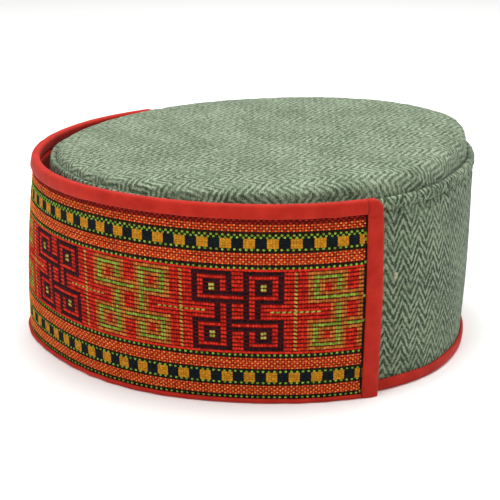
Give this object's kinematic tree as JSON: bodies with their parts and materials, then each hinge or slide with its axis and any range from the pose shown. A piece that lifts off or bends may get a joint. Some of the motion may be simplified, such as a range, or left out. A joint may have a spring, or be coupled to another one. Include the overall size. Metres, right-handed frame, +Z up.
{
  "type": "himachali cap",
  "caption": "Round flat-topped wool cap with a padded-seam crown and a standing front flap of patterned woven band bound in red.",
  "frame": {"origin": "under the middle of the cap's overall box, on the surface the rim rests on", "axes": "+Z up, -Y to the front where the flap stands, +X to the right of someone facing the flap"},
  "size_m": [0.1922, 0.1918, 0.0879],
  "materials": {
    "herringbone_wool": "grey-green herringbone wool tweed, brushed, matt",
    "woven_band": "hand-loomed band, red ground with green, orange, navy and maroon pattern threads",
    "lining_cloth": "plain red cotton lining",
    "red_binding": "folded red polycotton bias binding, slight sheen"
  },
  "bodies": {
    "root": {"crown_panel": "herringbone_wool", "side_wall": "herringbone_wool", "woven_band": "woven_band", "band_lining": "lining_cloth", "band_top_binding": "red_binding", "band_right_binding": "red_binding", "band_left_binding": "red_binding", "band_foot_binding": "red_binding", "hem_binding": "red_binding"}
  },
  "joints": []
}
